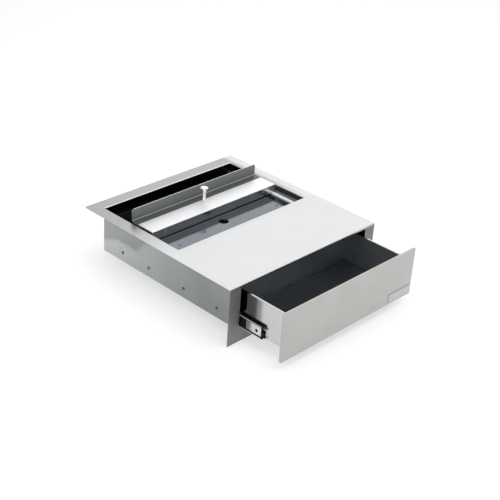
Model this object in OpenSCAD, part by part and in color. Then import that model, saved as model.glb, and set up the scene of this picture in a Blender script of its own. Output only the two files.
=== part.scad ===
// Drop-in counter unit for taking security tags off: a flanged steel casing, a
// carriage that slides over a well with a magnetic tag nest and over a tag bin,
// and a front drawer on three-part ball-bearing slides.
// Origin: the counter's top front edge, at the middle of the unit's width.
// +X is to the right, +Y to the rear, +Z up, and z = 0 is the counter top.

/* [Casing] */
// Overall width across the counter flange
unit_w = 400; // [390:1:410]
// Overall depth from the face plate's front to the flange's rear edge
unit_d = 407.4; // [404:0.2:412]
// Width of the counter flange beyond the casing walls
flange_w = 26.4; // [24:0.2:30]
// Thickness of the casing sheet
sheet = 1.2; // [1:0.1:1.5]
// Outer radius of a folded edge
fold_r = 2; // [1.8:0.1:2.5]
// Depth of the casing below the counter top
casing_h = 93.3; // [92:0.1:96]
// How far the face plate hangs below the counter top
face_h = 118.1; // [110:0.1:125]
// Depth of the front cover behind the face plate
cover_d = 163.8; // [163:0.1:168]

/* [Well and carriage] */
// Depth of the well's floor below the counter top
shelf_drop = 19.8; // [19:0.1:20.5]
// Distance from the origin to the front of the carriage's skirt
carriage_y = 244.4; // [240:0.1:250]
// Depth of the carriage from its skirt to its upstand
carriage_d = 60.6; // [57:0.1:62]
// How far the carriage sits to the right within its side play
carriage_shift = 2.8; // [0:0.1:3]
// Height of the upstand's top edge above the counter top
upstand_h = 25.3; // [20:0.1:32]
// Height of the pull knob
knob_h = 29; // [24:0.1:40]
// Radius of the round nest for a tag's cone
nest_r = 9.5; // [8:0.1:10]

/* [Drawer] */
// How far the drawer stands open
drawer_open = 108.7; // [0:0.1:150]
// Width of the drawer's front panel
front_w = 366; // [360:1:370]
// Height of the drawer's front panel
front_h = 99.9; // [96:0.1:102]
// Depth of the drawer box
drawer_d = 148; // [140:1:152]
// Length of the cabinet and middle slide members
rail_l = 150; // [150:1:155]

/* [Hidden] */
$fn = 48;

// A small overlap that keeps a cut from ending on a face
eps = 1;

// Casing: x of the walls, y of the openings and z of the levels
half_w = unit_w / 2;
wall_out = half_w - flange_w;
wall_in = wall_out - sheet;
rear_y = unit_d - sheet;
rear_out = rear_y - flange_w;
rear_in = rear_out - sheet;
top_z = sheet;
floor_z = -casing_h;
pan_z = floor_z + sheet;
front_lip = 4;
corner_r = 3;
rim_leg = 3;
slip = 0.4;
flange_hole_r = 2.4;
flange_hole_in = 12.4;
flange_hole_y = rear_y - flange_hole_in;

// Well: shelf, ledges, runners and the bulkhead under the shelf
shelf_top = -shelf_drop;
shelf_bottom = shelf_top - sheet;
shelf_overlap = 3.8;
shelf_front = cover_d - shelf_overlap;
shelf_rear = 298;
tongue_in = 160;
tongue_out = wall_in - slip;
tongue_gap = 1;
tongue_rear = rear_in - tongue_gap;
ledge_leg = 12;
runner_h = 2.9;
runner_in = 163.3;
runner_gap = 0.6;
runner_out = wall_in - runner_gap;
runner_front = cover_d + slip;
bulkhead_y = shelf_front;
rivet_x = 134;
rivet_y = 201.2;
shelf_lip_h = 10;
shelf_rivet_r = 1.75;
shelf_rivet_head_r = 2.6;
shelf_rivet_head_h = 0.9;
shelf_rivet_tail = 0.6;

// Tag bin in the rear bay and the angles that centre it
bin_half = 158;
bin_gap = 2;
bin_front_gap = 1.5;
bin_front = shelf_rear + bin_front_gap;
bin_rear = rear_in - bin_gap;
bin_top = shelf_bottom - bin_gap;
bin_wall = 1.6;
guide_front = 238;
guide_leg = 15;
guide_gap = 0.6;

// Magnetic nest under the shelf
nest_y = 219.8;
shelf_hole_gap = 0.6;
nest_tube_r = 12;
nest_depth = 17;
nest_floor = 2;
flange_r = 33;
nest_flange_t = 2;
cup_flange_t = 1.6;
cup_r = 23.5;
cup_wall = 1.5;
cup_h = 21.5;
stud_pcd_r = 28;
stud_r = 2;
stud_hole_gap = 0.2;
stud_l = 11;
magnet_gap = 0.2;
magnet_bore_gap = 0.3;
nut_r = 4.04;
nut_h = 3.2;
fit = 0.05;

// Slides: s is the distance inwards from the casing wall
slide_z = -74.4;
side_space = 9;
rail_front = -1;
cabinet_half_h = 17;
middle_half_h = 13.3;
drawer_half_h = 9.6;
rail_t = 1.1;
rail_bend_r = 2;
cabinet_s = [0, 6.4];
middle_s = [2.3, 7.6];
drawer_reach = 4.6;
outer_cage_s = [1.4, 6];
inner_cage_s = [3.6, 7.2];
ball_r = 1.25;
ball_offset = 0.3;
ball_play = 0.1;
cage_t = 0.6;
cage_web_t = 0.5;
cage_l = 60;
ball_count = 5;
access_y = 13.5;
access_r = 3.2;
rail_screw_y = [67.9, 128];
drawer_rail_back = 48;
wall_screw_y = [56.8, 145.8, 244.8, 321.8];
cabinet_screws = 2;
wall_screw_r = 1.8;
wall_screw_head_r = 3.3;
wall_screw_head_h = 2.2;
rail_screw_r = 1.5;
rail_screw_head_r = 2.7;
rail_screw_head_h = 1.3;
rail_screw_tail = 0.4;
hole_gap = 0.1;

// Carriage
carriage_gap = 3.8;
carriage_half = wall_in - carriage_gap;
skirt_h = 17.9;
skirt_half = 159.8;
notch_h = 16.4;
skirt_rivet_drop = 7.8;
skirt_rivet_r = 1.25;
skirt_rivet_head_r = 2;
skirt_rivet_head_h = 0.7;
skirt_rivet_tail = 0.5;
upstand_y = carriage_y + carriage_d;
upstand_r = 5;
upstand_fold_r = 2.6;
knob_y = 281.5;
knob_head_r = 7.9;
knob_screw_r = 1.7;
knob_hole_gap = 0.4;
knob_screw_head_r = 3.6;
knob_screw_head_h = 2.4;
knob_screw_bite = 7;
bracket_leg = 12;
bracket_h = 11;
glide_l = 14;
glide_gap = 0.5;
glide_play = 0.1;
glide_grip = 3;
stiffener_low = 14;
stiffener_h = 11;
stiffener_end = 8;

// Drawer, drawn closed and then moved forward by drawer_open
panel_gap = 0.8;
panel_back = -sheet - panel_gap;
panel_depth = 5;
panel_t = 1.2;
panel_top = -0.1;
box_half = wall_in - side_space;
box_top = -14.4;
box_bottom = -85.8;
box_wall = 1;
rim_w = 3.6;
boss_r = 4;
boss_x = 140;
boss_z = [-26, -74];
panel_screw_r = 1.65;
panel_screw_head_r = 3.6;
panel_screw_head_h = 2.2;
panel_screw_bite = 2.6;
panel_hole_r = 2.1;
mat_t = 1.5;
mat_gap = 0.6;
bumper_r = 4;
bumper_in = 7;
bumper_z = [-9, -91];
badge_w = 65.5;
badge_h = 19;
badge_t = 0.8;
badge_x = 147.3;
badge_z = -87.3;

// Colours
steel = [0.74, 0.75, 0.74];
polished = [0.86, 0.87, 0.88];
zinc = [0.68, 0.69, 0.66];
brass = [0.72, 0.62, 0.32];
dark = [0.1, 0.1, 0.11];

// Folded corner seen from the end: its outer corner is at the origin, one leg
// runs along +X and the other down along -Y.
module fold_profile(along, down, t = sheet, r = fold_r) {
    difference() {
        union() {
            translate([r, -t]) square([along - r, t]);
            translate([0, -down]) square([t, down - r]);
            intersection() {
                translate([r, -r]) circle(r);
                translate([0, -r]) square(r);
            }
        }
        translate([r, -r]) circle(r - t);
    }
}

// Extrudes an X-Z outline along Y, from y0 to y1.
module along_y(y0, y1) {
    translate([0, y1, 0]) rotate([90, 0, 0]) linear_extrude(y1 - y0) children();
}

// Extrudes an outline given as (y, z) along X, from x0 to x1.
module along_x(x0, x1) {
    translate([x0, 0, 0]) rotate([90, 0, 90]) linear_extrude(x1 - x0) children();
}

// Puts its children on the right-hand side, or mirrored on the left.
module on_side(side) {
    mirror([side < 0 ? 1 : 0, 0, 0]) children();
}

// Block that cuts the mitre of the flange at the right rear corner.
module mitre_block() {
    reach = 60;
    translate([0, 0, floor_z - eps]) linear_extrude(casing_h + top_z + 2 * eps)
        polygon([
            [wall_in - reach, rear_in - reach], [wall_in + reach, rear_in + reach],
            [wall_in + reach, rear_in + 2 * reach], [wall_in - reach, rear_in + 2 * reach]
        ]);
}

// Rounds the right rear corner of the flange.
module corner_trim() {
    translate([half_w - corner_r, rear_y - corner_r, -eps])
        linear_extrude(sheet + 2 * eps) difference() {
            square(corner_r + eps);
            circle(corner_r);
        }
}

// Screw or rivet head with a domed top, standing on z = 0.
module dome_head(r, h) {
    dome_r = (r * r + h * h) / (2 * h);
    rotate_extrude() intersection() {
        square([r, h]);
        translate([0, h - dome_r]) circle(dome_r);
    }
}

// Pan-head screw: dome above z = 0 with a cross recess, shank below.
module pan_screw(head_r, head_h, shank_r, shank_l) {
    slot_w = head_r * 0.3;
    slot_l = head_r * 1.1;
    slot_floor = head_h * 0.45;
    difference() {
        union() {
            dome_head(head_r, head_h);
            translate([0, 0, -shank_l]) cylinder(r = shank_r, h = shank_l);
        }
        for (a = [0, 90]) rotate([0, 0, a])
            translate([-slot_l / 2, -slot_w / 2, slot_floor]) cube([slot_l, slot_w, head_h]);
    }
}

module cover_plate() {
    color(polished) {
        along_x(-half_w, half_w) {
            translate([-sheet, top_z]) fold_profile(cover_d / 2, front_lip);
            translate([cover_d / 4, 0]) square([cover_d * 3 / 4 - fold_r, sheet]);
        }
        along_x(-wall_in, wall_in) translate([cover_d, top_z]) mirror([1, 0])
            fold_profile(cover_d / 4, top_z + shelf_drop);
        for (side = [-1, 1]) on_side(side) translate([wall_in, cover_d * 3 / 4, 0])
            cube([half_w - wall_in, cover_d / 4, sheet]);
    }
}

module face_plate() {
    color(steel) difference() {
        translate([-half_w, -sheet, -face_h])
            cube([unit_w, sheet, face_h + top_z - front_lip]);
        translate([-wall_out, -sheet - eps, floor_z])
            cube([2 * wall_out, sheet + 2 * eps, face_h]);
    }
}

module side_wall(side) {
    color(steel) on_side(side) difference() {
        union() {
            along_y(cover_d, rear_y) translate([wall_in, top_z])
                fold_profile(half_w - wall_in, top_z + casing_h);
            translate([wall_in, 0, floor_z]) cube([sheet, cover_d + eps, casing_h]);
            translate([wall_in, -sheet, floor_z])
                cube([sheet, sheet + eps, casing_h + top_z - front_lip]);
        }
        mitre_block();
        corner_trim();
        for (y = wall_screw_y) translate([wall_in - eps, y, slide_z]) rotate([0, 90, 0])
            cylinder(r = wall_screw_r + hole_gap, h = sheet + 2 * eps);
    }
}

// Keeps what lies behind the mitres at the two rear corners.
module behind_mitres() {
    intersection() {
        children();
        union() {
            mitre_block();
            mirror([1, 0, 0]) mitre_block();
            translate([-wall_in, rear_in, floor_z - eps])
                cube([2 * wall_in, flange_w + 2 * sheet, casing_h + 2 * eps + top_z]);
        }
    }
}

module rear_wall() {
    color(steel) behind_mitres() translate([-wall_out, rear_in, floor_z])
        cube([2 * wall_out, sheet, casing_h + top_z - rim_leg]);
}

module rear_flange() {
    color(steel) difference() {
        behind_mitres() along_x(-half_w, half_w) translate([rear_in, top_z])
            fold_profile(rear_y - rear_in, rim_leg);
        corner_trim();
        mirror([1, 0, 0]) corner_trim();
        translate([0, flange_hole_y, -eps]) cylinder(r = flange_hole_r, h = sheet + 2 * eps);
    }
}

module floor_pan() {
    color(steel) translate([-wall_in, -sheet, floor_z])
        cube([2 * wall_in, rear_in + sheet, sheet]);
}

module bulkhead() {
    color(steel) translate([-wall_in, bulkhead_y, pan_z])
        cube([2 * wall_in, sheet, shelf_bottom - pan_z]);
}

module shelf() {
    color(polished) difference() {
        union() {
            translate([-tongue_out, shelf_front, shelf_bottom])
                cube([2 * tongue_out, shelf_rear - shelf_front, sheet]);
            for (side = [-1, 1]) on_side(side) translate([tongue_in, shelf_front, shelf_bottom])
                cube([tongue_out - tongue_in, tongue_rear - shelf_front, sheet]);
            translate([-tongue_in, shelf_rear - sheet, shelf_bottom - shelf_lip_h])
                cube([2 * tongue_in, sheet, shelf_lip_h + sheet]);
        }
        translate([0, nest_y, shelf_bottom - eps])
            cylinder(r = nest_r + shelf_hole_gap, h = sheet + 2 * eps);
        for (x = [-rivet_x, rivet_x]) translate([x, rivet_y, shelf_bottom - eps])
            cylinder(r = shelf_rivet_r + fit, h = sheet + 2 * eps);
    }
}

module ledge(side) {
    color(steel) on_side(side) along_y(bulkhead_y + sheet, tongue_rear)
        translate([wall_in, shelf_bottom]) mirror([1, 0]) fold_profile(ledge_leg, ledge_leg);
}

module runner(side) {
    color("white") on_side(side) translate([runner_in, runner_front, shelf_top])
        cube([runner_out - runner_in, tongue_rear - runner_front, runner_h]);
}

module shelf_rivets() {
    color(zinc) for (x = [-rivet_x, rivet_x]) translate([x, rivet_y, shelf_top]) {
        dome_head(shelf_rivet_head_r, shelf_rivet_head_h);
        translate([0, 0, -sheet - shelf_rivet_tail])
            cylinder(r = shelf_rivet_r, h = sheet + shelf_rivet_tail);
    }
}

module wall_screws(side) {
    shank_l = sheet + rail_t;
    color(zinc) on_side(side) for (y = wall_screw_y)
        translate([wall_out, y, slide_z]) rotate([0, 90, 0])
            pan_screw(wall_screw_head_r, wall_screw_head_h, wall_screw_r, shank_l);
}

module bin_guide(side) {
    color(steel) on_side(side) difference() {
        along_y(guide_front, bin_rear) translate([wall_in, slide_z - guide_leg / 2])
            mirror([1, 0]) mirror([0, 1]) fold_profile(wall_in - bin_half - guide_gap, guide_leg);
        for (y = wall_screw_y) translate([wall_in - 2 * sheet, y, slide_z]) rotate([0, 90, 0])
            cylinder(r = wall_screw_r + hole_gap, h = 3 * sheet);
    }
}

module tag_bin() {
    color(dark) difference() {
        translate([-bin_half, bin_front, pan_z])
            cube([2 * bin_half, bin_rear - bin_front, bin_top - pan_z]);
        translate([bin_wall - bin_half, bin_front + bin_wall, pan_z + bin_wall])
            cube([2 * (bin_half - bin_wall), bin_rear - bin_front - 2 * bin_wall, casing_h]);
    }
}

// Stands its children on the nest's axis, at the underside of the shelf.
module at_nest() {
    translate([0, nest_y, shelf_bottom]) children();
}

// Places its children at the three studs.
module at_studs() {
    for (a = [90, 210, 330]) rotate([0, 0, a]) translate([stud_pcd_r, 0, 0]) children();
}

module detacher_nest() {
    color(zinc) at_nest() difference() {
        union() {
            translate([0, 0, -nest_flange_t]) cylinder(r = flange_r, h = nest_flange_t);
            translate([0, 0, -nest_depth - nest_floor])
                cylinder(r = nest_tube_r, h = nest_depth + nest_floor);
        }
        translate([0, 0, -nest_depth]) cylinder(r = nest_r, h = nest_depth + eps);
        at_studs() translate([0, 0, -nest_flange_t - eps])
            cylinder(r = stud_r + stud_hole_gap, h = nest_flange_t + 2 * eps);
    }
}

module magnet_ring() {
    ring_top = -nest_flange_t - cup_flange_t;
    color(dark) at_nest() difference() {
        translate([0, 0, ring_top - cup_h + 2 * cup_wall])
            cylinder(r = cup_r - cup_wall - magnet_gap, h = cup_h - 2 * cup_wall);
        translate([0, 0, ring_top - cup_h])
            cylinder(r = nest_tube_r + magnet_bore_gap, h = cup_h + eps);
    }
}

module magnet_cup() {
    flange_z = -nest_flange_t - cup_flange_t;
    color(zinc) at_nest() difference() {
        union() {
            translate([0, 0, flange_z]) cylinder(r = flange_r, h = cup_flange_t);
            translate([0, 0, flange_z - cup_h + cup_wall]) cylinder(r = cup_r, h = cup_h);
        }
        translate([0, 0, flange_z - cup_h + 2 * cup_wall])
            cylinder(r = cup_r - cup_wall, h = cup_h + eps);
        at_studs() translate([0, 0, flange_z - eps])
            cylinder(r = stud_r + stud_hole_gap, h = cup_flange_t + 2 * eps);
    }
}

module cup_studs() {
    color(zinc) at_nest() at_studs() translate([0, 0, -stud_l]) cylinder(r = stud_r, h = stud_l);
}

module cup_nuts() {
    color(zinc) at_nest() at_studs()
        translate([0, 0, -nest_flange_t - cup_flange_t - nut_h]) difference() {
            cylinder(r = nut_r, h = nut_h, $fn = 6);
            translate([0, 0, -eps]) cylinder(r = stud_r + fit, h = nut_h + 2 * eps);
        }
}

// Slide member seen from the end, s along +X and z up: a channel with its web
// from s0 and its lips reaching to s1.
module channel(s0, s1, half_h) {
    r = rail_bend_r;
    difference() {
        intersection() {
            translate([s0, -half_h]) square([s1 - s0, 2 * half_h]);
            union() {
                translate([s0 + r, -half_h]) square([s1 - s0, 2 * half_h]);
                translate([s0, r - half_h]) square([r, 2 * (half_h - r)]);
                for (k = [-1, 1]) translate([s0 + r, k * (half_h - r)]) circle(r);
            }
        }
        translate([s0 + rail_t, rail_t - half_h]) square([s1 - s0, 2 * (half_h - rail_t)]);
    }
}

// Runs a slide outline along Y inside one wall; s is measured from the wall.
module slide_member(side, y0, length) {
    on_side(side) along_y(y0, y0 + length) translate([wall_in, slide_z]) mirror([1, 0])
        children();
}

module cabinet_rail(side) {
    color(zinc) difference() {
        slide_member(side, rail_front, rail_l) channel(cabinet_s[0], cabinet_s[1], cabinet_half_h);
        on_side(side) for (k = [0:cabinet_screws - 1])
            translate([wall_in - 2 * sheet, wall_screw_y[k], slide_z]) rotate([0, 90, 0])
                cylinder(r = wall_screw_r + hole_gap, h = 3 * sheet);
    }
}

module middle_rail(side) {
    y0 = rail_front - drawer_open / 2;
    color(zinc) difference() {
        slide_member(side, y0, rail_l) channel(middle_s[0], middle_s[1], middle_half_h);
        on_side(side) for (y = [access_y, rail_l - access_y])
            translate([wall_in - side_space, y0 + y, slide_z]) rotate([0, 90, 0])
                cylinder(r = access_r, h = side_space);
    }
}

module drawer_rail(side) {
    y0 = rail_front - drawer_open;
    color(zinc) difference() {
        slide_member(side, y0 + drawer_rail_back, rail_l - drawer_rail_back)
            translate([side_space, 0]) mirror([1, 0]) channel(0, drawer_reach, drawer_half_h);
        on_side(side) for (y = rail_screw_y) translate([box_half - eps, y0 + y, slide_z])
            rotate([0, 90, 0]) cylinder(r = rail_screw_r + hole_gap, h = rail_t + 2 * eps);
    }
}

module rail_screws(side) {
    y0 = rail_front - drawer_open;
    shank_l = rail_t + box_wall + rail_screw_tail;
    color(brass) on_side(side) for (y = rail_screw_y)
        translate([box_half + rail_t, y0 + y, slide_z]) rotate([0, 90, 0])
            pan_screw(rail_screw_head_r, rail_screw_head_h, rail_screw_r, shank_l);
}

// Ball cage: a bent strip, and its balls, which run between two members.
// web_s and tip_s bound the strip, ball_z is the height of the ball centres.
module ball_cage(side, shift, web_s, tip_s, ball_z) {
    mid_y = rail_front + rail_l / 2 - shift;
    ball_s = (web_s + tip_s) / 2 + ball_offset;
    pitch = cage_l / ball_count;
    ball_y = [for (k = [0:ball_count - 1]) mid_y + (k - (ball_count - 1) / 2) * pitch];
    color(zinc) difference() {
        slide_member(side, mid_y - cage_l / 2, cage_l) difference() {
            translate([web_s, -ball_z - cage_t / 2])
                square([tip_s - web_s, 2 * ball_z + cage_t]);
            translate([web_s + cage_web_t, -ball_z + cage_t / 2])
                square([tip_s, 2 * ball_z - cage_t]);
        }
        on_side(side) for (y = ball_y)
            translate([wall_in - ball_s, y, slide_z - ball_z - cage_t])
                cylinder(r = ball_r + ball_play, h = 2 * (ball_z + cage_t));
    }
    color(polished) on_side(side) for (y = ball_y, k = [-1, 1])
        translate([wall_in - ball_s, y, slide_z + k * ball_z]) sphere(ball_r);
}

module outer_cage(side) {
    gap_mid = (cabinet_half_h - rail_t + middle_half_h) / 2;
    ball_cage(side, drawer_open / 4, outer_cage_s[0], outer_cage_s[1], gap_mid);
}

module inner_cage(side) {
    gap_mid = (middle_half_h - rail_t + drawer_half_h) / 2;
    ball_cage(side, drawer_open * 3 / 4, inner_cage_s[0], inner_cage_s[1], gap_mid);
}

// Moves the carriage's pieces to the right within their side play.
module at_carriage() {
    translate([carriage_shift, 0, 0]) children();
}

module carriage() {
    color(polished) at_carriage() difference() {
        along_x(-carriage_half, carriage_half) {
            translate([carriage_y, top_z]) fold_profile(carriage_d / 2, top_z + skirt_h);
            translate([carriage_y + carriage_d / 4, 0])
                square([carriage_d * 3 / 4 - upstand_fold_r, sheet]);
            translate([upstand_y, 0]) mirror([1, 0]) mirror([0, 1])
                fold_profile(carriage_d / 4, upstand_h, sheet, upstand_fold_r);
        }
        for (side = [-1, 1]) on_side(side) {
            translate([skirt_half, carriage_y - eps, -skirt_h - eps])
                cube([carriage_half, 2 * fold_r, skirt_h - notch_h + eps]);
            along_y(upstand_y - 2 * fold_r, upstand_y + eps)
                translate([carriage_half - upstand_r, upstand_h - upstand_r]) difference() {
                    square(upstand_r + eps);
                    circle(upstand_r);
                }
        }
        for (x = [-rivet_x, rivet_x]) translate([x, carriage_y - eps, -skirt_rivet_drop])
            rotate([-90, 0, 0]) cylinder(r = skirt_rivet_r + fit, h = sheet + 2 * eps);
        translate([0, knob_y, -eps])
            cylinder(r = knob_screw_r + knob_hole_gap, h = sheet + 2 * eps);
    }
}

module end_bracket(side) {
    y0 = carriage_y + 3 * sheet;
    color(steel) at_carriage() on_side(side) along_y(y0, upstand_y - 2 * sheet)
        translate([carriage_half - slip, 0]) mirror([1, 0]) fold_profile(bracket_leg, bracket_h);
}

module glides() {
    glide_top = -bracket_h;
    glide_bottom = shelf_top + runner_h + glide_play;
    glide_in = runner_in + glide_gap;
    y_list = [carriage_y + 4 * sheet, upstand_y - 3 * sheet - glide_l];
    color("white") at_carriage() for (side = [-1, 1], y = y_list) on_side(side) difference() {
        translate([glide_in, y, glide_bottom])
            cube([carriage_half - glide_in, glide_l, glide_top - glide_bottom + glide_grip]);
        translate([carriage_half - slip - sheet, y - eps, glide_top])
            cube([sheet, glide_l + 2 * eps, glide_grip + eps]);
    }
}

module skirt_stiffener() {
    color(steel) at_carriage() difference() {
        translate([-rivet_x - stiffener_end, carriage_y + sheet, -stiffener_low])
            cube([2 * (rivet_x + stiffener_end), sheet, stiffener_h]);
        for (x = [-rivet_x, rivet_x]) translate([x, carriage_y, -skirt_rivet_drop])
            rotate([-90, 0, 0]) cylinder(r = skirt_rivet_r + fit, h = 3 * sheet);
    }
}

module skirt_rivets() {
    shank_l = 2 * sheet + skirt_rivet_tail;
    color(zinc) at_carriage() for (x = [-rivet_x, rivet_x])
        translate([x, carriage_y, -skirt_rivet_drop]) rotate([90, 0, 0]) {
            dome_head(skirt_rivet_head_r, skirt_rivet_head_h);
            translate([0, 0, -shank_l]) cylinder(r = skirt_rivet_r, h = shank_l);
        }
}

module knob() {
    rim_h = 2.2;
    cone_h = 5;
    neck_r = 4.1;
    base_r = 3.2;
    rim_edge = 0.4;
    top_edge = 0.5;
    thread_l = 8;
    color(polished) at_carriage() translate([0, knob_y, top_z]) difference() {
        rotate_extrude() polygon([
            [0, 0], [base_r, 0], [neck_r, knob_h - rim_h - cone_h],
            [knob_head_r - rim_edge, knob_h - rim_h], [knob_head_r, knob_h - rim_h + rim_edge],
            [knob_head_r, knob_h - top_edge], [knob_head_r - top_edge, knob_h], [0, knob_h]
        ]);
        translate([0, 0, -eps]) cylinder(r = knob_screw_r + fit, h = thread_l + eps);
    }
}

module knob_screw() {
    shank_l = sheet + knob_screw_bite;
    color(zinc) at_carriage() translate([0, knob_y, 0]) mirror([0, 0, 1])
        pan_screw(knob_screw_head_r, knob_screw_head_h, knob_screw_r, shank_l);
}

// Moves the drawer's pieces from the closed place to where they stand.
module at_drawer() {
    translate([0, -drawer_open, 0]) children();
}

module drawer_box() {
    y0 = panel_back;
    y1 = y0 + drawer_d;
    height = box_top - box_bottom;
    color(steel) at_drawer() difference() {
        translate([-box_half, y0, box_bottom]) cube([2 * box_half, drawer_d, height]);
        translate([box_wall - box_half, y0 + box_wall, box_bottom + box_wall])
            cube([2 * (box_half - box_wall), drawer_d - 2 * box_wall, height - 2 * box_wall]);
        translate([rim_w - box_half, y0 + box_wall, box_bottom + box_wall])
            cube([2 * (box_half - rim_w), drawer_d - box_wall - rim_w, height + eps]);
        for (side = [-1, 1], y = rail_screw_y) on_side(side)
            translate([box_half - box_wall - eps, rail_front + y, slide_z]) rotate([0, 90, 0])
                cylinder(r = rail_screw_r + hole_gap, h = box_wall + 2 * eps);
        for (x = [-boss_x, boss_x], z = boss_z) translate([x, y0 - eps, z])
            rotate([-90, 0, 0]) cylinder(r = panel_hole_r, h = box_wall + 2 * eps);
    }
}

module drawer_front() {
    y0 = panel_back - panel_depth;
    color(steel) at_drawer() difference() {
        union() {
            difference() {
                translate([-front_w / 2, y0, panel_top - front_h])
                    cube([front_w, panel_depth, front_h]);
                translate([panel_t - front_w / 2, y0 + panel_t, panel_top - front_h + panel_t])
                    cube([front_w - 2 * panel_t, panel_depth, front_h - 2 * panel_t]);
            }
            for (x = [-boss_x, boss_x], z = boss_z) translate([x, y0 + panel_t / 2, z])
                rotate([-90, 0, 0]) cylinder(r = boss_r, h = panel_depth - panel_t / 2);
        }
        for (x = [-boss_x, boss_x], z = boss_z) translate([x, y0 + panel_t, z])
            rotate([-90, 0, 0]) cylinder(r = panel_screw_r + fit, h = panel_depth);
    }
}

module drawer_mat() {
    mat_half = box_half - box_wall - mat_gap;
    color(dark) at_drawer() translate([-mat_half, 0, box_bottom + box_wall])
        cube([2 * mat_half, drawer_d - 4 * box_wall, mat_t]);
}

module badge() {
    color(steel) at_drawer()
        translate([badge_x - badge_w / 2, panel_back - panel_depth - badge_t, badge_z - badge_h / 2])
            cube([badge_w, badge_t, badge_h]);
}

module panel_screws() {
    shank_l = box_wall + panel_screw_bite;
    color(zinc) at_drawer() for (x = [-boss_x, boss_x], z = boss_z)
        translate([x, panel_back + box_wall, z]) rotate([-90, 0, 0])
            pan_screw(panel_screw_head_r, panel_screw_head_h, panel_screw_r, shank_l);
}

module drawer_bumpers() {
    bumper_x = front_w / 2 - bumper_in;
    tip = panel_back + panel_gap / 2;
    start = panel_back - panel_depth + panel_t;
    color(dark) at_drawer() for (x = [-bumper_x, bumper_x], z = bumper_z)
        translate([x, start, z]) rotate([-90, 0, 0]) cylinder(r = bumper_r, h = tip - start);
}

cover_plate();
face_plate();
side_wall(-1);  // left_wall
side_wall(1);  // right_wall
rear_wall();
rear_flange();
floor_pan();
bulkhead();
shelf();
ledge(-1);  // left_ledge
ledge(1);  // right_ledge
runner(-1);  // left_runner
runner(1);  // right_runner
shelf_rivets();
wall_screws(-1);  // left_wall_screws
wall_screws(1);  // right_wall_screws
bin_guide(-1);  // left_bin_guide
bin_guide(1);  // right_bin_guide
tag_bin();
detacher_nest();
magnet_ring();
magnet_cup();
cup_studs();
cup_nuts();
cabinet_rail(-1);  // left_cabinet_rail
cabinet_rail(1);  // right_cabinet_rail
carriage();
end_bracket(-1);  // left_end_bracket
end_bracket(1);  // right_end_bracket
glides();
skirt_stiffener();
skirt_rivets();
knob();
knob_screw();
drawer_box();
drawer_front();
drawer_mat();
badge();
panel_screws();
drawer_bumpers();
drawer_rail(-1);  // left_drawer_rail
drawer_rail(1);  // right_drawer_rail
rail_screws(-1);  // left_rail_screws
rail_screws(1);  // right_rail_screws
middle_rail(-1);  // left_middle_rail
middle_rail(1);  // right_middle_rail
outer_cage(-1);  // left_outer_cage
outer_cage(1);  // right_outer_cage
inner_cage(-1);  // left_inner_cage
inner_cage(1);  // right_inner_cage
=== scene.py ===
"""Looks of the drop-in tag-removal unit: a welded casing shell, a sliding
carriage over a mirror-finished well, and a front drawer on ball slides."""

import math

import bmesh
import bpy
from mathutils import Matrix, Vector


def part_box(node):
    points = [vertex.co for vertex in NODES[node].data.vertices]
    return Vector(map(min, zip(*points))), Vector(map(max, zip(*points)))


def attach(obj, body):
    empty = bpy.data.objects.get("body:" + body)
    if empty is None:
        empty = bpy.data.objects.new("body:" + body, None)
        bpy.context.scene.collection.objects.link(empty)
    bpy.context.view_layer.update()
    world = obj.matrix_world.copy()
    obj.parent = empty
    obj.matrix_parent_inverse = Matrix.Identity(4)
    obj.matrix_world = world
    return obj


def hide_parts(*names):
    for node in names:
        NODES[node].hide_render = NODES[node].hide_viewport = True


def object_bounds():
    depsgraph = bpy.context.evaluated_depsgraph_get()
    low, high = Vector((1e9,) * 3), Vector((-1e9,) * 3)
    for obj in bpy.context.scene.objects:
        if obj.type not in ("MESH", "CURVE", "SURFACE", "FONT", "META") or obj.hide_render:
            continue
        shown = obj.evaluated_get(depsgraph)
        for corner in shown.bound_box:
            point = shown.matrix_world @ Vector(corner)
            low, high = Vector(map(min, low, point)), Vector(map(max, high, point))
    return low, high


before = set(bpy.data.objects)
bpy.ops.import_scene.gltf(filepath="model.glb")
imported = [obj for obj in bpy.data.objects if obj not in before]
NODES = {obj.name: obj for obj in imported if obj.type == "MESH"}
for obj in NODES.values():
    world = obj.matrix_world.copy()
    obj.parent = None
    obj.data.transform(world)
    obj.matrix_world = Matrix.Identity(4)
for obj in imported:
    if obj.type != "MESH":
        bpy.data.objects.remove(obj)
cad_lo, cad_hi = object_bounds()
MIDDLE = (cad_lo + cad_hi) / 2
MM = 0.001
FAR = 1.0  # metres, past every end of the object
SPLIT_GAP = 0.001 * MM  # corners of a CAD mesh closer than this are one corner
FLAT_ANGLE = math.radians(0.4)  # faces that meet at less than this are one flat face


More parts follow.
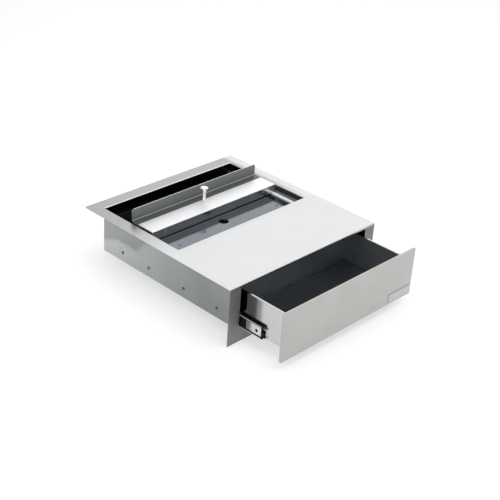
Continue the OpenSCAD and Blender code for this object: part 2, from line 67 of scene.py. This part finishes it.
# ---------------------------------------------------------------- materials
class Surface:
    """A node material under construction: its shader, and its object-space coordinates."""

    def __init__(self, name, metallic, roughness, specular=0.5):
        self.material = bpy.data.materials.new(name)
        self.material.use_nodes = True
        self.nodes = self.material.node_tree.nodes
        self.links = self.material.node_tree.links
        self.shader = self.nodes["Principled BSDF"]
        self.shader.inputs["Metallic"].default_value = metallic
        self.shader.inputs["Roughness"].default_value = roughness
        self.shader.inputs["Specular IOR Level"].default_value = specular
        self.coords = self.nodes.new("ShaderNodeTexCoord").outputs["Object"]

    def noise(self, cycles, detail=3.0, rough=0.55, twist=(0, 0, 0)):
        """Noise with this many cycles per metre along x, y and z."""
        mapping = self.nodes.new("ShaderNodeMapping")
        mapping.inputs["Rotation"].default_value = twist
        mapping.inputs["Scale"].default_value = cycles
        texture = self.nodes.new("ShaderNodeTexNoise")
        texture.inputs["Scale"].default_value = 1.0
        texture.inputs["Detail"].default_value = detail
        texture.inputs["Roughness"].default_value = rough
        self.links.new(self.coords, mapping.inputs["Vector"])
        self.links.new(mapping.outputs["Vector"], texture.inputs["Vector"])
        return texture.outputs["Fac"]

    def cells(self, cycles):
        """A random value per cell, as in zinc spangle."""
        texture = self.nodes.new("ShaderNodeTexVoronoi")
        texture.inputs["Scale"].default_value = cycles
        self.links.new(self.coords, texture.inputs["Vector"])
        grey = self.nodes.new("ShaderNodeSeparateColor")
        self.links.new(texture.outputs["Color"], grey.inputs["Color"])
        return grey.outputs["Red"]

    def along(self, axis):
        """The object-space coordinate along one axis, in metres."""
        split = self.nodes.new("ShaderNodeSeparateXYZ")
        self.links.new(self.coords, split.inputs["Vector"])
        return split.outputs[axis]

    def band(self, value, low, high):
        """1 where the value lies between low and high, else 0."""
        node = self.nodes.new("ShaderNodeMath")
        node.operation = "COMPARE"
        self.links.new(value, node.inputs[0])
        node.inputs[1].default_value = (low + high) / 2
        node.inputs[2].default_value = (high - low) / 2
        return node.outputs[0]

    def spread(self, value, low, high, start=0.3, end=0.7):
        """Maps a noise value from start..end to low..high."""
        remap = self.nodes.new("ShaderNodeMapRange")
        keys = ("From Min", "From Max", "To Min", "To Max")
        for key, number in zip(keys, (start, end, low, high)):
            remap.inputs[key].default_value = number
        self.links.new(value, remap.inputs["Value"])
        return remap.outputs["Result"]

    def maths(self, operation, a, b):
        """One Math node; a and b are numbers or sockets."""
        node = self.nodes.new("ShaderNodeMath")
        node.operation = operation
        for socket, source in zip(node.inputs, (a, b)):
            if isinstance(source, (int, float)):
                socket.default_value = source
            else:
                self.links.new(source, socket)
        return node.outputs[0]

    def mix_colour(self, factor, a, b):
        """a where factor is 0 and b where it is 1; a and b are colours or sockets."""
        node = self.nodes.new("ShaderNodeMix")
        node.data_type = "RGBA"
        self.links.new(factor, node.inputs["Factor"])
        for key, source in ((6, a), (7, b)):
            if isinstance(source, tuple):
                node.inputs[key].default_value = (*source, 1)
            else:
                self.links.new(source, node.inputs[key])
        return node.outputs[2]

    def colour(self, source):
        self.links.new(source, self.shader.inputs["Base Color"])

    def roughness(self, source):
        self.links.new(source, self.shader.inputs["Roughness"])

    def bump(self, height, strength, depth):
        node = self.nodes.new("ShaderNodeBump")
        node.inputs["Strength"].default_value = strength
        node.inputs["Distance"].default_value = depth
        self.links.new(height, node.inputs["Height"])
        self.links.new(node.outputs["Normal"], self.shader.inputs["Normal"])


def shade(colour, factor):
    """The colour made darker or lighter by a factor."""
    return tuple(min(1.0, c * factor) for c in colour)


# cycles per metre of brushing lines that run along x, along y on a wall that faces x, and
# round a small turned part
ALONG_X = (40, 2600, 2600)
ALONG_Y = (2600, 40, 2600)
TURNED = (900, 900, 2400)
LINE_SHADE = 0.86  # a brushing line's tone against the steel's
FADE_EDGE = 10 * MM  # how softly a changed tone ends towards the right


def brushed(
    name, base, rough, lines=ALONG_X, blotch=0.05, depth=0.012 * MM, fade=None, streak=0.2,
    scratches=0.08,
):
    """Brushed or ground steel: fine lines one way, cloudy tone, handling marks and scratches.

    blotch is how much the tone varies, depth the height of the lines, streak how strong
    they are and scratches how much rougher a scratch is. fade paints shade or light along the
    sheet as a darker or lighter tone: (y where that tone begins, y where it is full, that
    tone's factor, x where it ends towards the right)."""
    s = Surface(name, 1.0, rough)
    grain = s.noise(lines, 4, 0.6)
    cloud = s.noise((9, 9, 9), 3)
    smudge = s.noise((55, 55, 55), 5, 0.65)
    scratch = s.noise((1500, 45, 700), 2, 0.5, (0, 0, math.radians(63)))
    dark, light = shade(base, 1 - blotch), shade(base, 1 + blotch)
    toned = s.mix_colour(s.spread(cloud, 0, 1), dark, light)
    # fade: painted shade or light, a darker or lighter tone by place
    if fade:
        start, end, level, right_end = fade
        rearwards = s.spread(s.along("Y"), 0, 1, start, end)
        leftwards = s.spread(s.along("X"), 1, 0, right_end - FADE_EDGE, right_end)
        changed = s.maths("MINIMUM", rearwards, leftwards)
        toned = s.mix_colour(changed, toned, shade(base, level))
    s.colour(s.mix_colour(s.spread(grain, 0, streak), toned, shade(base, LINE_SHADE)))
    swing = 0.15 * streak  # how far the lines change the roughness
    fine = s.spread(grain, rough - swing, rough + swing)
    marked = s.maths("ADD", fine, s.spread(smudge, -0.02, 0.03))
    s.roughness(s.maths("ADD", marked, s.spread(scratch, 0, scratches, 0.68, 0.8)))
    s.bump(grain, 0.25, depth)
    return s.material


def mirror(name, base, rough):
    """Bright polished steel with faint wipe marks and hairline scratches."""
    s = Surface(name, 1.0, rough)
    haze = s.noise((22, 22, 22), 4)
    wipe = s.noise((260, 14, 60), 3, 0.6, (0, 0, math.radians(24)))
    hair = s.noise((1900, 30, 900), 2, 0.5, (0, 0, math.radians(-38)))
    s.colour(s.mix_colour(s.spread(haze, 0, 1), shade(base, 0.97), shade(base, 1.03)))
    hazy = s.maths("ADD", s.spread(haze, rough - 0.02, rough + 0.03), s.spread(wipe, 0, 0.025))
    s.roughness(s.maths("ADD", hazy, s.spread(hair, 0, 0.12, 0.7, 0.82)))
    s.bump(s.noise((5, 5, 5), 1), 0.12, 0.35 * MM)
    return s.material


def plated(name, base, rough, spangle, tint=None):
    """Plating: small crystal cells (spangle is their number per metre), cloudy passivation
    of the given tint, and a fine tooth."""
    s = Surface(name, 1.0, rough)
    crystal = s.cells(spangle)
    cloud = s.noise((28, 28, 28), 4)
    tooth = s.noise((2400, 2400, 2400), 2)
    cells = s.mix_colour(s.spread(crystal, 0, 1, 0, 1), shade(base, 0.93), shade(base, 1.06))
    s.colour(s.mix_colour(s.spread(cloud, 0, 0.45), cells, tint or shade(base, 0.82)))
    rough_cells = s.spread(crystal, rough - 0.05, rough + 0.07, 0, 1)
    s.roughness(s.maths("ADD", rough_cells, s.spread(cloud, -0.03, 0.05)))
    s.bump(tooth, 0.2, 0.02 * MM)
    return s.material


# heights on the slide from its mid-height: its raceway grooves, painted black as shade, the
# web's lower edge, where the lower groove begins, and its lips, made less metallic so they show
# as bright lines
RACEWAY = (9.9 * MM, 11.1 * MM)
WEB_FOOT = 7.4 * MM
LIP = (11.1 * MM, 12.5 * MM)
# lengths on the slide from its front end: a black band at its open front end, painted shade,
# and a black stretch of the web, a painted reflection of the dark interior
FRONT_END_SHADE = (-1 * MM, 2.2 * MM)
DARK_REFLECTION_SPAN = (39 * MM, 70 * MM)
SLIDE_SHADE_BLACK = (0.008, 0.008, 0.009)
LIP_DULLNESS = 0.8


def slide_skin(name, base, centre_z, front_y):
    """Zinc slide member with painted shade in black: the raceway grooves above and below the
    web, a band above the top lip and the open front end, and a stretch of painted reflection on
    the web; its lips are made less metallic so they show as bright lines.
    """
    s = Surface(name, 1.0, 0.18, 0.1)
    crystal = s.cells(900)
    tooth = s.noise((2400, 60, 2400), 2)
    web = s.mix_colour(s.spread(crystal, 0, 1, 0, 1), shade(base, 0.95), shade(base, 1.05))
    above = s.maths("SUBTRACT", s.along("Z"), centre_z)
    height = s.maths("ABSOLUTE", above, 0)
    behind = s.maths("SUBTRACT", s.along("Y"), front_y)
    lower_groove = s.band(above, -RACEWAY[1], -WEB_FOOT)
    dark = s.maths("MAXIMUM", s.band(height, *RACEWAY), lower_groove)
    dark = s.maths("MAXIMUM", dark, s.band(behind, *FRONT_END_SHADE))
    reflection = s.maths("MINIMUM", s.band(behind, *DARK_REFLECTION_SPAN), s.band(height, -FAR, RACEWAY[1]))
    dark = s.maths("MAXIMUM", dark, s.maths("MAXIMUM", reflection, s.band(above, LIP[1], FAR)))
    # black on the painted shade and painted reflection stretches
    s.colour(s.mix_colour(dark, web, SLIDE_SHADE_BLACK))
    lip = s.maths("MAXIMUM", s.band(height, *LIP), s.band(above, -FAR, -LIP[0]))
    dull = s.maths("MAXIMUM", dark, s.maths("MULTIPLY", lip, LIP_DULLNESS))
    s.links.new(s.maths("SUBTRACT", 1.0, dull), s.shader.inputs["Metallic"])
    grain = s.spread(crystal, 0.12, 0.24, 0, 1)
    s.roughness(s.maths("ADD", grain, s.spread(dull, 0, 0.35, 0, 1)))
    s.bump(tooth, 0.2, 0.02 * MM)
    return s.material


# the black painted over the trench is painted shade
TRENCH_SHADE_TONE = 0.03  # tone of a blackened stretch against the plastic's


def moulded(name, base, rough, speck=0.06, tooth=900, depth=0.05 * MM, shade_from=None):
    """Moulded plastic or rubber: a fine tooth, slight mottling and rubbed patches.

    shade_from is the y from which the surface is painted black towards the rear, as painted
    shade."""
    s = Surface(name, 0.0, rough, 0.45)
    mottle = s.noise((120, 120, 120), 4)
    skin = s.noise((tooth, tooth, tooth), 3)
    rub = s.noise((35, 35, 35), 4, 0.6)
    toned = s.mix_colour(s.spread(mottle, 0, 1), shade(base, 1 - speck), shade(base, 1 + speck))
    # painted shade: black towards the rear
    if shade_from:
        rearwards = s.spread(s.along("Y"), 0, 1, shade_from, shade_from + MM)
        toned = s.mix_colour(rearwards, toned, shade(base, TRENCH_SHADE_TONE))
    s.colour(toned)
    fine = s.spread(skin, rough - 0.06, rough + 0.06)
    s.roughness(s.maths("ADD", fine, s.spread(rub, -0.05, 0.05)))
    s.bump(skin, 0.35, depth)
    return s.material


middle_lo, middle_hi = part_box("left_middle_rail")
middle_z = (middle_lo.z + middle_hi.z) / 2
ZINC_TONE = (0.62, 0.645, 0.65)
WHITE_PLASTIC = (0.93, 0.93, 0.92)

# a fade paints light or shade along a sheet: a tone that changes with where the light falls
# the top steel darkens to 0.62 towards the rear, except along its right edge: painted shade
TOP = brushed(
    "top_steel", (0.72, 0.725, 0.73), 0.36, blotch=0.02, depth=0.002 * MM,
    fade=(0.145, 0.31, 0.62, 0.185), streak=0.06,
)
# near-white steel put on folds and rims: a painted highlight
FOLD_HIGHLIGHT = brushed("fold_painted_highlight", (0.96, 0.96, 0.96), 0.34, blotch=0.02)
# the wall steel lightens 1.82 times towards the rear: painted light; floor pan, bulkhead,
# ledges and bin guides carry it too
WALL = brushed(
    "wall_steel", (0.250, 0.264, 0.258), 0.28, (2200, 26, 2600), 0.1, 0.001 * MM,
    fade=(0.10, 0.36, 1.82, FAR), streak=0.03, scratches=0.01,
)
FACE = brushed("face_steel", (0.32, 0.322, 0.32), 0.66, (30, 2400, 2400), 0.06)
FRONT = brushed("front_steel", (0.485, 0.473, 0.461), 0.3, (24, 2600, 2600), 0.05)
BOX = brushed("box_steel", (0.60, 0.605, 0.605), 0.13, ALONG_Y, 0.04)
# the drawer side darkens to 0.42 behind y -0.041, towards the casing: painted shade
SIDE = brushed(
    "drawer_side_steel", (0.56, 0.565, 0.56), 0.16, ALONG_Y, 0.04, 0.008 * MM,
    fade=(-0.050, -0.041, 0.42, FAR),
)
INSIDE = brushed("drawer_inside_steel", (0.56, 0.61, 0.63), 0.42, blotch=0.12)
# the carriage top turns dark (0.2) along its rear strip before the upstand: a painted
# reflection of the upstand
CARRIAGE = brushed(
    "carriage_steel", (0.97, 0.975, 0.985), 0.5, blotch=0.02, depth=0.002 * MM,
    fade=(0.2848, 0.2856, 0.2, FAR), streak=0.06,
)
# the upstand is the carriage's own steel made dark grey: painted shade
UPSTAND_SHADE = brushed("upstand_painted_shade", (0.228, 0.243, 0.245), 0.5, blotch=0.04, depth=0.006 * MM)
# a lighter steel on the carriage's bend line than on the upstand and band beside it: a painted
# highlight
BEND_HIGHLIGHT = brushed("bend_painted_highlight", (0.52, 0.525, 0.53), 0.34, blotch=0.02)
SKIRT = brushed("skirt_steel", (0.62, 0.67, 0.71), 0.2, blotch=0.06)
# the walls' inner faces are darker mirror steel than their outer faces: painted shade inside
# the casing
INNER_SHADE = mirror("inner_wall_painted_shade", (0.16, 0.167, 0.184), 0.16)
SHELF = mirror("shelf_steel", (0.196, 0.209, 0.229), 0.08)
ZINC = plated("zinc_plate", ZINC_TONE, 0.16, 900)
SLIDE = slide_skin("slide_zinc", ZINC_TONE, middle_z, middle_lo.y)
YELLOW = plated("yellow_plate", (0.80, 0.80, 0.38), 0.42, 420, (0.55, 0.68, 0.34))
ALLOY = brushed("nest_alloy_turned", (0.09, 0.092, 0.095), 0.4, TURNED)
CHROME = mirror("knob_chrome_plate", (0.80, 0.805, 0.815), 0.26)
MAGNET = plated("magnet_grey_coat", (0.16, 0.16, 0.17), 0.45, 500)
PLATE = brushed("badge_plate", (0.52, 0.52, 0.51), 0.3, (60, 2600, 2600))
GLIDE = moulded("white_glide_plastic", WHITE_PLASTIC, 0.38)
# the runners are painted black from y 0.300 rearwards, over the trench: painted shade
RUNNER = moulded("runner_plastic_painted_shade", WHITE_PLASTIC, 0.38, shade_from=0.300)
BLACK = moulded("black_bin_plastic", (0.018, 0.018, 0.02), 0.42, 0.12)
RUBBER = moulded("black_rubber", (0.02, 0.02, 0.021), 0.62, 0.15, 1400, 0.08 * MM)
MAT = moulded("glossy_mat", (0.022, 0.025, 0.028), 0.27, 0.1, 1100, 0.015 * MM)
# dark plate for the shelf rivets, and on the wall screws' rims a painted contact shadow
DARK_SCREW_AND_SHADOW = plated("dark_screw_plate_and_shadow", (0.09, 0.09, 0.088), 0.28, 900)
# less metallic: the yellow plate, and the upstand's painted shade
for material, metallic in ((YELLOW, 0.1), (UPSTAND_SHADE, 0.35)):
    shader = material.node_tree.nodes["Principled BSDF"]
    shader.inputs["Metallic"].default_value = metallic


# ------------------------------------------------------------ mesh helpers
BEVEL_SEGMENTS = 2
BEVEL_ANGLE = math.radians(32)  # edges sharper than this are rounded
BEND_TILT = (0.1, 0.97)  # range of the normal's z on a bend
SIDEWAYS = 0.5  # below this a part of a face's normal counts as none


def soften(obj, width):
    """Merges split corners, clears flat triangulation and rounds the edges by width."""
    merge = obj.modifiers.new("merge", "WELD")
    merge.merge_threshold = SPLIT_GAP
    flat = obj.modifiers.new("flat", "DECIMATE")
    flat.decimate_type = "DISSOLVE"
    flat.angle_limit = FLAT_ANGLE
    edge = obj.modifiers.new("edge", "BEVEL")
    edge.width = width
    edge.segments = BEVEL_SEGMENTS
    edge.limit_method = "ANGLE"
    edge.angle_limit = BEVEL_ANGLE
    edge.use_clamp_overlap = True
    edge.harden_normals = False
    normals = obj.modifiers.new("normals", "WEIGHTED_NORMAL")
    normals.keep_sharp = False
    for polygon in obj.data.polygons:
        polygon.use_smooth = True


def dress(obj, material):
    """Gives the whole object one material."""
    obj.data.materials.clear()
    obj.data.materials.append(material)


def paint(obj, materials, pick):
    """Adds materials to a dressed object; pick(face) is the one for a face, or None."""
    for material in materials:
        obj.data.materials.append(material)
    for polygon in obj.data.polygons:
        material = pick(polygon)
        if material:
            polygon.material_index = obj.data.materials.find(material.name)


def on_bend(face):
    """True on the rounded part of a fold that curves down from a top."""
    return BEND_TILT[0] < face.normal.z < BEND_TILT[1]


def is_upright(face):
    """True on walls."""
    return abs(face.normal.z) < SIDEWAYS


def faces_towards(face, point):
    """True if the face looks to the point's side."""
    return face.normal.dot(point - face.center) > 0


def new_object(name, bm, body, material):
    """Turns a bmesh into a piece that rides on a CAD body."""
    mesh = bpy.data.meshes.new(name)
    bm.to_mesh(mesh)
    bm.free()
    obj = bpy.data.objects.new(name, mesh)
    bpy.context.scene.collection.objects.link(obj)
    dress(obj, material)
    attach(obj, body)
    return obj


def cad_copy(node):
    """A bmesh of a CAD node, with its split corners merged."""
    bm = bmesh.new()
    bm.from_mesh(NODES[node].data)
    bmesh.ops.remove_doubles(bm, verts=bm.verts, dist=SPLIT_GAP)
    return bm


def welded(name, nodes, body, material):
    """One seamless solid from several CAD nodes that touch; it stands for them."""
    temporary = []
    for node in nodes:
        mesh = bpy.data.meshes.new(node + "_copy")
        bm = cad_copy(node)
        bm.to_mesh(mesh)
        bm.free()
        part = bpy.data.objects.new(node + "_copy", mesh)
        bpy.context.scene.collection.objects.link(part)
        temporary.append(part)
    first = temporary[0]
    for other in temporary[1:]:
        union = first.modifiers.new("union", "BOOLEAN")
        union.operation = "UNION"
        union.solver = "EXACT"
        union.object = other
    graph = bpy.context.evaluated_depsgraph_get()
    bm = bmesh.new()
    bm.from_mesh(first.evaluated_get(graph).to_mesh())
    for part in temporary:
        bpy.data.objects.remove(part)
    bmesh.ops.remove_doubles(bm, verts=bm.verts, dist=2 * SPLIT_GAP)
    bmesh.ops.dissolve_limit(bm, angle_limit=FLAT_ANGLE, verts=bm.verts, edges=bm.edges)
    piece = new_object(name, bm, body, material)
    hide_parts(*nodes)
    return piece


def turned(name, outline, centre, body, material, steps=72):
    """A lathe-turned piece: outline is (radius, height) from the foot to the top, and both
    ends of it lie on the axis."""
    bm = bmesh.new()
    rings = []
    turns = [2 * math.pi * k / steps for k in range(steps)]
    for radius, height in outline:
        if radius == 0:
            rings.append([bm.verts.new(centre + Vector((0, 0, height)))])
            continue
        spots = [(radius * math.cos(a), radius * math.sin(a), height) for a in turns]
        rings.append([bm.verts.new(centre + Vector(spot)) for spot in spots])
    for low, high in zip(rings, rings[1:]):
        for k in range(steps):
            corners = [low[k % len(low)], low[(k + 1) % len(low)]]
            corners += [high[(k + 1) % len(high)], high[k % len(high)]]
            unique = list(dict.fromkeys(corners))
            if len(unique) > 2:
                bm.faces.new(unique)
    bmesh.ops.recalc_face_normals(bm, faces=bm.faces)
    piece = new_object(name, bm, body, material)
    for polygon in piece.data.polygons:
        polygon.use_smooth = True
    return piece


def arc(centre_r, centre_h, radius, start, end, steps=8):
    """Points on an arc of a lathe outline, angles in degrees from the radial direction."""
    turns = [math.radians(start + (end - start) * k / steps) for k in range(steps + 1)]
    return [(centre_r + radius * math.cos(a), centre_h + radius * math.sin(a)) for a in turns]


# ------------------------------------------------------------------ casing
SHEET_ROUNDING = 0.22 * MM
FOLD_DEPTH = 2.1 * MM  # from a top down to where its fold has become a wall
shell = welded(
    "casing_shell",
    ["cover_plate", "left_wall", "right_wall", "rear_wall", "rear_flange"],
    "casing",
    TOP,
)
carriage_lo, carriage_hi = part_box("carriage")
fold_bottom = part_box("cover_plate")[1].z - FOLD_DEPTH


def casing_finish(face):
    """Painted highlights on the bends behind the carriage's front; walls unlike outside and
    inside, with the inner faces in dark mirror steel as painted shade.
    """
    if on_bend(face) and face.center.y > carriage_lo.y:
        return FOLD_HIGHLIGHT
    if is_upright(face) and face.center.z < fold_bottom:
        return INNER_SHADE if faces_towards(face, MIDDLE) else WALL
    return None


paint(shell, [WALL, INNER_SHADE, FOLD_HIGHLIGHT], casing_finish)
soften(shell, SHEET_ROUNDING)

# -------------------------------------------------------------------- knob
knob_lo, knob_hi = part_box("knob")
knob_r = (knob_hi.x - knob_lo.x) / 2
knob_h = knob_hi.z - knob_lo.z
knob_foot = Vector(((knob_lo.x + knob_hi.x) / 2, (knob_lo.y + knob_hi.y) / 2, knob_lo.z))
rim, collar, foot_r, neck_r = 2.2 * MM, 5 * MM, 3.2 * MM, 4.1 * MM
foot_round, rim_under, rim_top = 0.3 * MM, 0.6 * MM, 0.7 * MM
neck_top = knob_h - rim - collar
outline = [(0, 0)]
outline += arc(foot_r - foot_round, foot_round, foot_round, -90, 0, 4)
outline += [(neck_r, neck_top)]
# the collar flares towards the head along a parabola and ends just short of it
flare, flare_h = knob_r - neck_r - 0.4 * MM, collar - 0.2 * MM
outline += [
    (neck_r + flare * t * t, neck_top + flare_h * t)
    for t in (0.1, 0.25, 0.4, 0.55, 0.7, 0.85, 1.0)
]
outline += arc(knob_r - rim_under, knob_h - rim + rim_under, rim_under, -70, 0, 6)
outline += arc(knob_r - rim_top, knob_h - rim_top, rim_top, 0, 90, 8)
# the top is dished very slightly
outline += [(knob_r * 0.5, knob_h - 0.02 * MM), (0, knob_h - 0.05 * MM)]
pull_knob = turned("pull_knob", outline, knob_foot, "carriage", CHROME)
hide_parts("knob")

# ------------------------------------------------------------------- badge
badge_lo, badge_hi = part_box("badge")


def plate_ring(bm, inset, depth, corner=2.4 * MM, steps=5):
    """Corners of a rounded rectangle on the badge, this far inside its edge and behind its
    front."""
    radius = max(corner - inset, 0.4 * MM)
    middle = (badge_lo + badge_hi) / 2
    half_x = (badge_hi.x - badge_lo.x) / 2 - inset - radius
    half_z = (badge_hi.z - badge_lo.z) / 2 - inset - radius
    ring = []
    for quarter, (kx, kz) in enumerate(((1, 1), (-1, 1), (-1, -1), (1, -1))):
        for step in range(steps + 1):
            turn = math.radians(90 * (quarter + step / steps))
            x = middle.x + kx * half_x + radius * math.cos(turn)
            z = middle.z + kz * half_z + radius * math.sin(turn)
            ring.append(bm.verts.new((x, badge_lo.y + depth, z)))
    return ring


# (inset, depth) of each ring: the back's edge, a fine chamfer, and a thin groove in the front
bm = bmesh.new()
rings = [plate_ring(bm, 0, badge_hi.y - badge_lo.y)]
for inset, depth in ((0, 0.12), (0.12, 0), (1.2, 0), (1.3, 0.2), (1.5, 0.2), (1.6, 0.02)):
    rings.append(plate_ring(bm, inset * MM, depth * MM))
for outer, inner in zip(rings, rings[1:]):
    for k in range(len(outer)):
        n = (k + 1) % len(outer)
        bm.faces.new((outer[k], outer[n], inner[n], inner[k]))
bm.faces.new(rings[-1])
bm.faces.new(rings[0][::-1])
bmesh.ops.recalc_face_normals(bm, faces=bm.faces)
badge = new_object("blank_badge", bm, "drawer", PLATE)
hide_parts("badge")


# --------------------------------------------------- CAD nodes that stay
def both(*names):
    """The left and right nodes of each name."""
    return [f"{side}_{name}" for name in names for side in ("left", "right")]


FINISHES = {
    FACE: ["face_plate"],
    WALL: ["floor_pan", "bulkhead", *both("ledge", "bin_guide")],
    SHELF: ["shelf"],
    CARRIAGE: ["carriage"],
    BOX: ["drawer_box", "skirt_stiffener", *both("drawer_rail", "end_bracket")],
    FRONT: ["drawer_front"],
    SLIDE: both("middle_rail"),
    ZINC: both("outer_cage", "inner_cage", "cabinet_rail")
    + ["skirt_rivets", "knob_screw", "panel_screws", "magnet_cup", "cup_studs", "cup_nuts"],
    YELLOW: both("rail_screws"),
    ALLOY: ["detacher_nest"],
    MAGNET: ["magnet_ring"],
    GLIDE: ["glides"],
    RUNNER: both("runner"),
    BLACK: ["tag_bin"],
    RUBBER: ["drawer_bumpers"],
    MAT: ["drawer_mat"],
    DARK_SCREW_AND_SHADOW: ["shelf_rivets", *both("wall_screws")],
}
# how far edges are rounded: of these nodes, of nodes with these words in the name, of the rest
ROUNDING = {"drawer_front": SHEET_ROUNDING, "drawer_box": 0.3 * MM, "tag_bin": 0.5 * MM}
ROUNDING |= {"left_runner": 0.4 * MM, "right_runner": 0.4 * MM, "drawer_mat": 0.4 * MM}
SMALL = ("screw", "rivets", "studs", "cage", "nuts")
SMALL_ROUNDING, PLAIN_ROUNDING = 0.08 * MM, 0.2 * MM
for material, nodes in FINISHES.items():
    for node in nodes:
        dress(NODES[node], material)
        small = any(word in node for word in SMALL)
        soften(NODES[node], ROUNDING.get(node, SMALL_ROUNDING if small else PLAIN_ROUNDING))

# above the first height is the carriage's upstand, below the second its skirt; its bend
# lies this far in front of its rear
UPSTAND_FOOT, SKIRT_TOP, BEND_DEPTH = 2.8 * MM, -0.5 * MM, 3 * MM


def carriage_finish(face):
    """Painted highlights on the bend line and the upstand's rims, painted shade on the upstand,
    blue-grey skirt.
    """
    if on_bend(face) and face.center.y > carriage_hi.y - BEND_DEPTH:
        return BEND_HIGHLIGHT
    if face.center.z > UPSTAND_FOOT:
        return FOLD_HIGHLIGHT if abs(face.normal.y) < SIDEWAYS else UPSTAND_SHADE
    if face.center.z < SKIRT_TOP and is_upright(face):
        return SKIRT
    return None


paint(NODES["carriage"], [UPSTAND_SHADE, SKIRT, FOLD_HIGHLIGHT, BEND_HIGHLIGHT], carriage_finish)

HEAD_TILT = 0.86  # a wall screw's head is bright where its normal's x is more than this


def screw_finish(face):
    """Plain zinc on the middles of the wall screws' heads; the rest of each head stays dark as
    a painted contact shadow.
    """
    return ZINC if abs(face.normal.x) > HEAD_TILT else None


for node in both("wall_screws"):
    paint(NODES[node], [ZINC], screw_finish)

box_lo, box_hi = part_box("drawer_box")
box_middle = (box_lo + box_hi) / 2


def drawer_finish(face):
    """Sides unlike outside and inside; the outer side steel darkens towards the casing as
    painted shade.
    """
    if is_upright(face):
        return INSIDE if faces_towards(face, box_middle) else SIDE
    return None


paint(NODES["drawer_box"], [SIDE, INSIDE], drawer_finish)

# ------------------------------------------------------------------- stage
FLOOR_HALF = 8
FLOOR_DROP = 0.2 * MM  # keeps the floor clear of the object's underside
FLOOR_TONE, FLOOR_GLOW = 0.5, 0.55  # the glow takes the floor to the photo's white
WORLD_LIGHT = 0.38
bm = bmesh.new()
bmesh.ops.create_grid(bm, x_segments=1, y_segments=1, size=FLOOR_HALF)
mesh = bpy.data.meshes.new("floor")
bm.to_mesh(mesh)
bm.free()
floor = bpy.data.objects.new("floor", mesh)
floor.location.z = cad_lo.z - FLOOR_DROP
bpy.context.scene.collection.objects.link(floor)
pale = Surface("pale_floor", 0.0, 0.9, 0.1)
pale.shader.inputs["Base Color"].default_value = (FLOOR_TONE, FLOOR_TONE, FLOOR_TONE, 1)
pale.shader.inputs["Emission Color"].default_value = (1, 1, 1, 1)
pale.shader.inputs["Emission Strength"].default_value = FLOOR_GLOW
dress(floor, pale.material)

world = bpy.data.worlds.new("studio")
world.use_nodes = True
sky = world.node_tree.nodes["Background"]
sky.inputs["Color"].default_value = (1, 1, 1, 1)
sky.inputs["Strength"].default_value = WORLD_LIGHT
bpy.context.scene.world = world


def outwards(azimuth, elevation):
    """The direction from the object to a viewer; azimuth 0 is in front, angles in degrees."""
    a, e = math.radians(azimuth), math.radians(elevation)
    return Vector((math.sin(a) * math.cos(e), -math.cos(a) * math.cos(e), math.sin(e)))


def softbox(name, azimuth, elevation, distance, size, power):
    """An area light on a sphere round the object, turned towards it; metres and watts."""
    away = outwards(azimuth, elevation)
    lamp = bpy.data.lights.new(name, "AREA")
    lamp.shape = "RECTANGLE"
    lamp.size, lamp.size_y = size
    lamp.energy = power
    light = bpy.data.objects.new(name, lamp)
    light.location = MIDDLE + away * distance
    light.rotation_mode = "QUATERNION"
    light.rotation_quaternion = (-away).to_track_quat("-Z", "Y")
    light.visible_camera = False
    bpy.context.scene.collection.objects.link(light)


softbox("rear_box", 122, 33, 2.4, (2.6, 1.9), 13)
softbox("top_box", -20, 80, 2.6, (2.4, 2.4), 46)
softbox("left_box", -95, 35, 2.6, (1.6, 1.6), 10)
softbox("right_box", 62, 42, 2.4, (0.9, 0.9), 3)

# ------------------------------------------------------------------ camera
CAMERA_AT = Vector((-1.3884, -1.1352, 0.9980))
AZIMUTH, ELEVATION, ROLL = -47.355, 29.087, math.radians(3.996)
LENS, SENSOR = 79.4, 36  # millimetres
back = outwards(AZIMUTH, ELEVATION)
level = Vector((0, 0, 1)).cross(back).normalized()
upright = back.cross(level)
right = math.cos(ROLL) * level + math.sin(ROLL) * upright
up = math.cos(ROLL) * upright - math.sin(ROLL) * level
lens = bpy.data.cameras.new("camera")
lens.lens = LENS
lens.sensor_width = SENSOR
camera = bpy.data.objects.new("camera", lens)
turn = Matrix((right, up, back)).transposed().to_4x4()
camera.matrix_world = Matrix.Translation(CAMERA_AT) @ turn
bpy.context.scene.collection.objects.link(camera)
bpy.context.scene.camera = camera
bpy.context.scene.view_settings.view_transform = "Standard"
